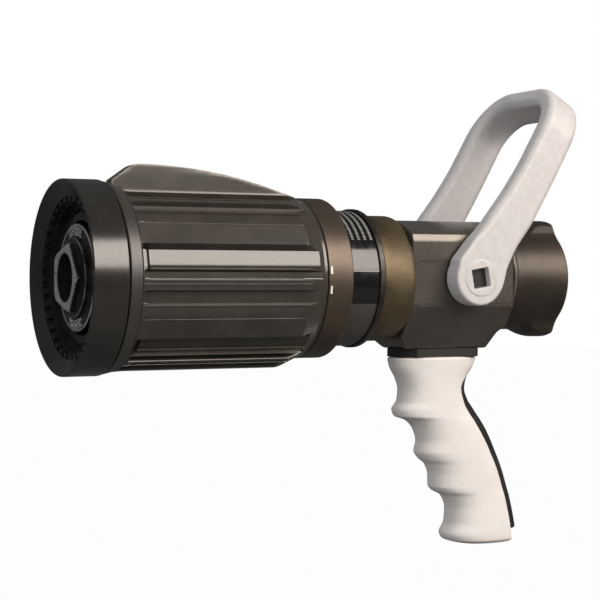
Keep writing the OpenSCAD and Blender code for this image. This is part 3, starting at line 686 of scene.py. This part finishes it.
def body_field(x, y, z):
    side = np.abs(y)
    panel = np.maximum(box_2d(x - 73.85, z + 3.0, 32.85, 13.0, 2.0), 0)
    flat = side - BODY_HALF + 0.3 * ease(-panel, -0.5, 0.0)
    shoulder = -plane_through(side, z, (BODY_HALF, 22.2), (BODY_HALF - 2, 28.7))
    crown = np.hypot(y, z - (BODY_TOP - CROWN_R)) - CROWN_R
    flank = plane_through(side, z, (BODY_HALF, -16), (14, -SADDLE_Z))
    body = meet(meet(flat, shoulder, 0.3), crown, 0.3)
    body = meet(meet(body, flank, 1.0), -SADDLE_Z - z, 1.0)
    body = meet(body, between(x, BODY_REAR, RING_REAR), 0.7)
    # Scooped heel, and a chamfered toe
    heel = meet(-plane_through(x, z, (49.2, -SADDLE_Z), (45.5, 9 - SADDLE_Z)), z + 30, 3.5)
    toe = plane_through(x, z, (105.5, -SADDLE_Z), (RING_REAR, -36))
    body = meet(cut(body, heel, 1.2), -toe, 1.5)
    r = np.hypot(y, z)
    spigot = meet(r - SPIGOT_R, between(x, RING_REAR - 2, SPIGOT_END), 0.6)
    body = join(body, spigot, 0.4)
    body = cut(body, meet(r - CAVITY_R, between(x, 30, HUB_X + 18.2)), 0.4)
    body = cut(body, meet(r - SEAT_R, between(x, HUB_X, SEAT_END)), 0.2)
    body = cut(body, meet(r - WATERWAY_R, between(x, HUB_X, SPIGOT_END + 5)), 0.4)
    return cut(body, np.hypot(x - HUB_X, z) - BUSH_R, 0.4)


def build_body():
    low, high = node_span("valve_body")
    points, faces = field_mesh(body_field, low - 2, high + 2, 0.9)
    add_piece("body_casting", points, faces, materials["body_anodised"], "valve_and_barrel",
              ["valve_body"], field=body_field)


# ---- Swivel coupling ----

def coupling_field(x, y, z):
    r = np.hypot(y, z)
    bowl = meet(r - COUPLING_R, between(x, 0, COUPLING_LEN), 1.8)
    height = np.abs(z)
    crest = meet(r - LUG_R, between(x, 0, 40), 1.0)
    slope = plane_through(x, r, (11.5, LUG_R), (25, COUPLING_R - 1.2))
    flank = plane_through(np.abs(y), height, (19.55, 22), (12.9, LUG_R - 1.0))
    lug = meet(meet(crest, slope, 1.5), -flank, 0.8)
    lug = meet(lug, 22 - height)
    shape = join(bowl, lug, 1.4)
    shape = meet(shape, between(x, 0, COUPLING_LEN), 1.0)
    # Relief line near the front end
    shape = cut(shape, np.hypot(x - (COUPLING_LEN - 3.2), r - COUPLING_R - 0.1) - 0.5, 0.2)
    turn = np.arctan2(z, y) / (2 * math.pi)
    wave = np.abs(2 * ((x / THREAD_PITCH - turn) % 1) - 1)
    ends = ease(x, 0.4, 3.0) * ease(-x, -THREAD_DEPTH + 0.5, -THREAD_DEPTH + 3)
    thread = ease(wave, 0.12, 0.88) * 1.5 * ends
    bore = meet(r - THREAD_R + thread, between(x, -5, THREAD_DEPTH + 0.1))
    shape = cut(shape, bore, 0.6)
    shape = cut(shape, meet(r - GASKET_R, between(x, THREAD_DEPTH, 21)))
    shape = cut(shape, meet(r - TAIL_BORE_R, between(x, THREAD_DEPTH, COUPLING_LEN + 5)), 0.3)
    shape = cut(shape, np.hypot(r - 24.15, x - RACE_X) - 2)
    plug = meet(np.hypot(x - RACE_X, z) - 2.6, y + 24)
    return cut(shape, plug, 0.2)


def build_coupling():
    low, high = node_span("swivel_coupling")
    points, faces = field_mesh(coupling_field, low - 2, high + 2, 0.7)
    add_piece("coupling_bowl", points, faces, materials["coupling_black"], "swivel",
              ["swivel_coupling"], field=coupling_field)


# ---- Turned parts ----

def build_turned():
    fixed = "valve_and_barrel"
    add_turned("ring_turned", [
        (RING_REAR, SPIGOT_R, 0.4), (RING_REAR, BODY_RING_R - 0.6, 1.8),
        (RING_REAR + 2.4, BODY_RING_R, 2.5), (RING_FRONT, BODY_RING_R, 0.5), (RING_FRONT, SPIGOT_R, 0.4),
    ], grainy_bronze, fixed, ["body_ring"])
    add_turned("rim_turned", [
        (RING_FRONT, SPIGOT_R, 0.4), (RING_FRONT, BAND_RIM_R, 1.2), (BAND_REAR, BAND_RIM_R, 0.5),
        (BAND_REAR, SPIGOT_R, 0.4),
    ], materials["dark_anodised"], fixed, ["band_rim"])
    add_turned("band_turned", [
        (BAND_REAR, BAND_BORE_R, 0.2), (BAND_REAR, BAND_R, 0.4),
        (BAND_FRONT, BAND_R, 0.4), (BAND_FRONT, BAND_BORE_R, 0.2),
    ], materials["band_gloss"], fixed, ["label_band"])
    add_turned("collar_turned", [
        (COVER_FRONT, COLLAR_BORE_R, 0.3), (COVER_FRONT, RIB_R + 0.3, 0.4),
        (COLLAR_FRONT - 0.4, BUMPER_R - 0.6, 0.7), (COLLAR_FRONT - 0.4, COLLAR_BORE_R, 0.3),
    ], collar_rubber, "sleeve", ["front_collar"])
    add_turned("bumper_turned", [
        (COLLAR_FRONT + 0.3, COLLAR_BORE_R, 0.3), (COLLAR_FRONT + 0.3, BUMPER_R - 0.1, 0.9),
        (NOZZLE_LEN, BUMPER_R - 0.1, 0.7), (NOZZLE_LEN, 52.6, 0.5),
        (309.5, 44.2, 0.5), (309.5, 45, 0.2), (303.2, 45, 0.2), (303.2, COLLAR_BORE_R, 0.2),
    ], materials["bumper_rubber"], "sleeve", ["bumper"])
    add_turned("baffle_turned", [
        (BAFFLE_REAR, 7, 0.2), (BAFFLE_REAR, 13, 2), (BAFFLE_FRONT - 5, BAFFLE_R - 3, 2),
        (BAFFLE_FRONT - 2.5, BAFFLE_R, 0.6), (BAFFLE_FRONT, BAFFLE_R, 0.7),
        (BAFFLE_FRONT, BAFFLE_R - 1.2, 0.2),
        (BAFFLE_FRONT - 0.4, BAFFLE_R - 1.4, 0.1), (BAFFLE_FRONT - 0.4, BAFFLE_R - 1.9, 0.1),
        (BAFFLE_FRONT, BAFFLE_R - 2.1, 0.2), (BAFFLE_FRONT, 16, 0.2),
        (NUT_SEAT, 16, 0.2), (NUT_SEAT, 7, 0.2),
    ], rubbed_dark, "baffle", ["baffle_disc"])


def nut_field(x, y, z):
    r = np.hypot(y, z)
    stub = meet(r - 16, between(x, NUT_SEAT, NUT_FRONT - 6), 0.3)
    flange = meet(r - 22, between(x, BAFFLE_FRONT, 308), 0.6)
    sides = [y * math.cos(a) + z * math.sin(a) for a in np.radians(36 + 72 * np.arange(5))]
    pentagon = np.max(sides, 0) - NUT_CORNER_R * math.cos(math.radians(36))
    head = meet(pentagon, between(x, 307, NUT_FRONT), 0.6)
    head = meet(head, plane_through(x, r, (NUT_FRONT - 1.6, 20.2), (NUT_FRONT, 18.0)), 0.4)
    nut = join(join(stub, flange, 0.3), head, 0.6)
    nut = cut(nut, meet(r - NUT_BORE_R, NUT_SEAT + 2 - x), 0.9)
    return cut(nut, meet(r - 4, between(x, 290, 301)), 0.2)


def build_nut():
    low, high = node_span("baffle_nut")
    points, faces = field_mesh(nut_field, low - 1.5, high + 1.5, 0.45)
    add_piece("nut_five_sided", points, faces, rubbed_dark, "baffle",
              ["baffle_nut"], field=nut_field)


# ---- Sleeve cover ----

# One sixth of the sleeve runs 30 degrees either side of its middle. In it: a pad at the high end,
# a rib with a flat face, a pair of low ridges, and the start of the next pad.
SECTOR = 60
SECTOR_MIDDLE = 1.5
COVER_CONE = 0.43
CONE_START = COVER_REAR + 2.0
# Pockets: their edges in degrees from the sector's middle, and their depth
POCKETS = [
    (-3.2, 3.4, 4.2), (-18.8, -8.6, 3.0), (-5.2, -4.6, 0.9), (16.3, 17.4, 4.2), (32.7, 33.2, 0.35),
]
# Slanted strips: from the high side to the low side, and the depth at each
BEVELS = [(-23.5, -18.8, 0.0, 0.6), (19.2, 16.4, 0.1, 4.0), (6.5, 3.4, 3.2, 3.8)]
# Flat strips: their middle and half width in degrees, and their depth
FLATS = [(11.55, 5.05, 3.2), (26.1, 6.9, 0.0), (-13.7, 5.1, 0.0), (-7.0, 1.5, 0.5), (-3.9, 0.7, 0.5)]
RIB_FRONT = 281.6
RIB_GAP_DEPTH = 4.6
WALL = 0.7
# The valley that the fin stands in: its half width in degrees, and its depth
FOOT_TURN = 12.0
FOOT_DEPTH = 3.2


def cover_radius(x, turn):
    """Radius of the cover at a place along X and an angle above +Y, in degrees."""
    offset = (turn - SECTOR_MIDDLE + SECTOR / 2) % SECTOR - SECTOR / 2
    arc = np.radians(1) * RIB_R
    depth = np.zeros(np.broadcast(x, turn).shape)
    flat = np.ones_like(depth)
    for middle, half, deep in FLATS:
        for shift in (0, SECTOR, -SECTOR):
            away = np.abs(offset - middle - shift)
            level = math.cos(math.radians(half)) / np.cos(np.radians(np.minimum(away, half)))
            flat = np.minimum(flat, level)
            depth = np.maximum(depth, deep * (away <= half))
    for high_side, low_side, start, end in BEVELS:
        share = (offset - high_side) / (low_side - high_side)
        depth = np.maximum(depth, (start + (end - start) * share) * (share >= 0) * (share <= 1))
    for start, end, deep in POCKETS:
        for shift in (0, SECTOR, -SECTOR):
            middle, half = (start + end) / 2 + shift, (end - start) / 2 * arc
            edge = box_2d((offset - middle) * arc, x - (POCKET_FRONT - 100), half, 100, min(1.6, half))
            depth = np.maximum(depth, deep * ease(-edge, 0.0, min(WALL, 1.6 * half)))
    # The rib stops short of the front, and the fin stands in a valley
    before_rib = ease(x, RIB_FRONT - 0.4, RIB_FRONT) * (offset > 3.4) * (offset < 17.4)
    depth = np.maximum(depth, RIB_GAP_DEPTH * before_rib)
    from_fin = np.abs((turn - 90 + 180) % 360 - 180)
    depth = np.maximum(depth, FOOT_DEPTH * ease(-from_fin, -FOOT_TURN, 0.7 - FOOT_TURN))
    to_front = ease(-x, -POCKET_FRONT - 0.4, -POCKET_FRONT)
    radius = RIB_R * (1 - (1 - flat) * to_front) + 0.3 * ease(x, 280, 286) - depth * to_front
    return np.minimum(radius, RING_R + 0.2 + COVER_CONE * np.maximum(x - CONE_START, 0))


def fin_radius(x, turn):
    span = 94.0
    rise = FIN_TOP - RING_R
    arc_r = (span ** 2 + rise ** 2) / (2 * rise)
    crest_x = COVER_REAR + span
    back = np.clip(crest_x - x, 0, span)
    top = FIN_TOP - arc_r + np.sqrt(arc_r ** 2 - back ** 2)
    top = soft_min(top, FIN_TOP - NOSE_SLOPE * (x - NOSE_START), 2.5)
    delta = np.radians(turn - 90)
    side = FIN_HALF / np.maximum(np.abs(np.sin(delta)), 1e-3)
    crest = top / np.maximum(np.cos(delta), 0.2)
    return soft_min(side, crest, 1.8)


def sleeve_radius(x, turn):
    turn = np.asarray(turn, float)
    base = cover_radius(x, turn)
    near_top = np.abs((turn - 90 + 180) % 360 - 180) < 60
    fin = np.where(near_top, fin_radius(x, np.where(near_top, (turn + 90) % 360 - 90, 90)), 0)
    return np.where(near_top, -soft_min(-base, -fin, 1.4), base)


def lines_needed(values, tolerance, longest):
    """Positions to keep so that straight pieces between them stay within a tolerance."""
    keep, start = [0], 0
    last = len(values) - 1
    while start < last:
        end = start + 1
        while end < last and end - start < longest:
            trial = end + 1
            line = np.linspace(values[start], values[trial], trial - start + 1)
            if np.abs(line - values[start:trial + 1]).max() > tolerance:
                break
            end = trial
        keep.append(end)
        start = end
    return np.array(keep)


def build_sleeve():
    fine = np.arange(0, 360.0001, 0.1)
    middle = sleeve_radius(np.full_like(fine, 262.0), fine)
    turns = fine[lines_needed(middle, 0.012, 18)][:-1]
    rows = np.concatenate([
        COVER_REAR + np.array([0, 0.12, 0.3, 0.55]), np.linspace(COVER_REAR + 1.1, TAIL_END + 4, 30),
        np.linspace(TAIL_END + 8, 266, 18), np.linspace(267, 282, 22), np.linspace(282.4, 286.0, 24),
        COVER_FRONT - np.array([0.28, 0.1, 0]),
    ])
    radius = sleeve_radius(rows[:, None], turns[None, :])
    edge = np.minimum(rows - COVER_REAR, COVER_FRONT - rows)
    round_r = 0.5
    short = np.clip(round_r - edge, 0, round_r)
    radius = radius - (round_r - np.sqrt(round_r ** 2 - short ** 2))[:, None]
    rows = np.concatenate([rows, [COVER_FRONT, COVER_REAR]])
    radius = np.concatenate([radius, np.full((2, len(turns)), CORE_R)])
    angle = np.radians(turns)
    points = np.stack([
        np.repeat(rows[:, None], len(turns), 1), radius * np.cos(angle), radius * np.sin(angle),
    ], -1).reshape(-1, 3)
    count = len(turns)
    i, k = np.meshgrid(np.arange(len(rows)), np.arange(count), indexing="ij")
    ahead, beside = (i + 1) % len(rows), (k + 1) % count
    faces = np.stack([i * count + k, ahead * count + k, ahead * count + beside, i * count + beside], -1)
    faces = faces.reshape(-1, 4)[:, ::-1]
    add_piece("sleeve_ribbed", points, faces, materials["sleeve_rubber"], "sleeve",
              ["sleeve_cover"], 60, True)


# ---- Flow ring ----

def build_flow_ring():
    add_turned("flow_turned", [
        (FLOW_REAR, FLOW_BORE_R, 0.2), (FLOW_REAR, RING_R, 1.0), (FLOW_FRONT, RING_R, 0.6),
        (FLOW_FRONT, FLOW_BORE_R, 0.2), (FLOW_FRONT - 3.8, FLOW_BORE_R, 0), (FLOW_FRONT - 3.8, 40, 0),
        (162.9, 40, 0), (162.9, FLOW_BORE_R, 0),
    ], materials["ring_bronze"], "flow_selector", ["flow_ring"])


# ---- Grip ----

# Outlines of the grip from the side, as (distance down, distance forward), and its width as a share
GRIP_FRONT = [
    (47, 108), (53, 106.5), (60, 102.5), (66.5, 100.5), (73.5, 101.5), (78.5, 105), (82.5, 103.5),
    (85.5, 95.5), (91, 90.2), (98, 88), (104.5, 89.4), (108.5, 86.8), (112.5, 82), (119, 79.5),
    (125.5, 79.4), (128.5, 77), (132, 70.5), (140, 67), (148, 67.5), (155, 71), (158.5, 69), (161, 62),
]
GRIP_BACK = [
    (47, 50), (53, 52.5), (60, 57.5), (66.5, 59), (73.5, 56.5), (78.5, 52.7), (91, 44), (104.5, 37),
    (119, 31), (132, 27), (148, 23.4), (158.5, 21.6), (161, 25),
]
GRIP_SHARE = [
    (47, 1), (60, 0.95), (78.5, 0.94), (104.5, 0.97), (132, 0.98), (155, 1.05), (158.5, 1.03), (161, 0.9),
]
STRAP_EDGE = [
    (47, 49), (58, 59), (66, 65), (75, 63), (87, 55.5), (102.5, 46), (122, 37.6), (137, 33.4), (161, 29),
]
# Half the gap between the grip and its backstrap
SEAM = 0.22


def grip_loft(x, y, z):
    down = -z
    front, back = curve_at(down, GRIP_FRONT), curve_at(down, GRIP_BACK)
    share = curve_at(down, GRIP_SHARE)
    middle, half = (front + back) / 2, (front - back) / 2
    side = GRIP_HALF * share
    power = 2.5
    level = (np.abs((x - middle) / half) ** power + np.abs(y / side) ** power) ** (1 / power)
    return (level - 1) * np.minimum(half, side) * 0.9


def strap_side(x, z):
    """Distance ahead of the front edge of the backstrap."""
    return (x - curve_at(-z, STRAP_EDGE)) * 0.88


def grip_bolt_line(x, y, z):
    """Distance from the bolt's axis, and distance up it from the seat of its head."""
    ax, az = 33.9, 125.0
    size = math.hypot(ax, az)
    ax, az = ax / size, az / size
    dx, dz = x - 44.1, z + 155.0
    return np.hypot(dx * az - dz * ax, y), dx * ax + dz * az


def grip_field(x, y, z):
    grip = meet(grip_loft(x, y, z), between(z, -GRIP_BOTTOM, -GRIP_TOP), 1.6)
    grip = meet(grip, SEAM - strap_side(x, z), 0.6)
    off_axis, up = grip_bolt_line(x, y, z)
    grip = cut(grip, off_axis - GRIP_BOLT_R, 0.3)
    return cut(grip, meet(off_axis - 6, up), 0.5)


def strap_field(x, y, z):
    strap = meet(grip_loft(x, y, z), between(z, -153.0, -49.0), 1.2)
    strap = meet(strap, SEAM + strap_side(x, z), 0.6)
    return cut(strap, grip_bolt_line(x, y, z)[0] - GRIP_BOLT_R, 0.3)


def build_grip():
    low, high = node_span("pistol_grip")
    points, faces = field_mesh(grip_field, low - 2, high + 2, 0.8)
    add_piece("grip_moulding", points, faces, materials["grip_plastic"], "valve_and_barrel",
              ["pistol_grip"], field=grip_field)
    low, high = node_span("grip_backstrap")
    points, faces = field_mesh(strap_field, low - 2, high + 2, 0.7)
    add_piece("backstrap_moulding", points, faces, materials["grip_black"], "valve_and_barrel",
              ["grip_backstrap"], field=strap_field)


def soften_cad(nodes, width):
    """Small round edges on the CAD nodes that stay in view."""
    for name in nodes:
        bevel = frame["nodes"][name].modifiers.new("round_edges", "BEVEL")
        bevel.width = width * MM
        bevel.segments = 2
        bevel.limit_method = "ANGLE"
        bevel.angle_limit = math.radians(40)
        bevel.use_clamp_overlap = True


build_bail()
build_body()
build_coupling()
build_turned()
build_nut()
build_sleeve()
build_flow_ring()
build_grip()
soften_cad(["grip_plate"], 0.6)
soften_cad(["fog_teeth_ring", "baffle_badges"], 0.2)


# ---- Floor, light and camera ----

def add_floor():
    size, depth = 6.0, -0.32
    mesh = bpy.data.meshes.new("studio_floor")
    corners = [(-size, -size, depth), (size, -size, depth), (size, size, depth), (-size, size, depth)]
    mesh.from_pydata(corners, [], [(0, 1, 2, 3)])
    floor = bpy.data.objects.new("studio_floor", mesh)
    bpy.context.scene.collection.objects.link(floor)
    s = Shader("floor_paint", Roughness=0.9)
    mottle = s.noise(3, 3)
    paint = s.finish(s.blend(mottle, (0.1, 0.1, 0.098), (0.12, 0.12, 0.118)))
    glow = s.tree.nodes.new("ShaderNodeEmission")
    glow.inputs["Strength"].default_value = 0.98
    seen = s.tree.nodes.new("ShaderNodeLightPath")
    mix = s.tree.nodes.new("ShaderNodeMixShader")
    s.tree.links.new(seen.outputs["Is Camera Ray"], mix.inputs[0])
    s.tree.links.new(s.bsdf.outputs[0], mix.inputs[1])
    s.tree.links.new(glow.outputs[0], mix.inputs[2])
    s.tree.links.new(mix.outputs[0], s.tree.nodes["Material Output"].inputs["Surface"])
    mesh.materials.append(paint)


def add_softbox(name, place, aim, width, height, power, in_gloss=True, colour=(1, 1, 1)):
    light = bpy.data.lights.new(name, "AREA")
    light.shape = "RECTANGLE"
    light.size, light.size_y = width, height
    light.energy = power
    light.color = colour
    lamp = bpy.data.objects.new(name, light)
    bpy.context.scene.collection.objects.link(lamp)
    lamp.location = place
    lamp.rotation_euler = (Vector(aim) - Vector(place)).to_track_quat("-Z", "Y").to_euler()
    lamp.visible_glossy = in_gloss


def add_camera():
    """Camera at the photo's place: a long lens, nearly level, from the nozzle's front left."""
    data = bpy.data.cameras.new("photo_camera")
    data.sensor_width = 36.0
    data.lens = 102.48
    data.clip_start = 0.05
    camera = bpy.data.objects.new("photo_camera", data)
    bpy.context.scene.collection.objects.link(camera)
    camera.location = (0.6177, 0.8856, -0.0036)
    pitch = math.radians(0.5233)
    heading = Vector((-0.4524 * math.cos(pitch), -0.8918 * math.cos(pitch), -math.sin(pitch)))
    camera.rotation_euler = heading.to_track_quat("-Z", "Y").to_euler()
    bpy.context.scene.camera = camera


def add_studio():
    centre = (0.16, 0, 0.0)
    add_softbox("key_softbox", (-0.42, 1.0, 0.58), centre, 1.15, 0.7, 20, True, (1, 0.9, 0.81))
    add_softbox("top_softbox", (0.2, 0.3, 1.6), centre, 1.6, 1.4, 2, False)
    add_softbox("front_fill", (1.5, 0.9, 0.3), centre, 1.0, 1.0, 8, False)
    add_softbox("rear_fill", (-0.6, -1.4, 0.7), centre, 1.2, 1.0, 5, False)
    world = bpy.data.worlds.new("studio_world")
    world.use_nodes = True
    tree = world.node_tree
    backdrop = tree.nodes["Background"]
    backdrop.inputs["Strength"].default_value = 1.0
    backdrop.inputs["Color"].default_value = (1, 1, 1, 1)
    seen = tree.nodes.new("ShaderNodeLightPath")
    # The walls of the studio are dim in reflections, softer in diffuse light and white behind the object
    strength = tree.nodes.new("ShaderNodeMix")
    strength.inputs[2].default_value = 0.45
    strength.inputs[3].default_value = 0.09
    tree.links.new(seen.outputs["Is Glossy Ray"], strength.inputs[0])
    behind = tree.nodes.new("ShaderNodeMath")
    behind.operation = "MAXIMUM"
    tree.links.new(strength.outputs[0], behind.inputs[0])
    tree.links.new(seen.outputs["Is Camera Ray"], behind.inputs[1])
    tree.links.new(behind.outputs[0], backdrop.inputs["Strength"])
    bpy.context.scene.world = world
    bpy.context.scene.view_settings.view_transform = "Standard"


add_floor()
add_camera()
add_studio()
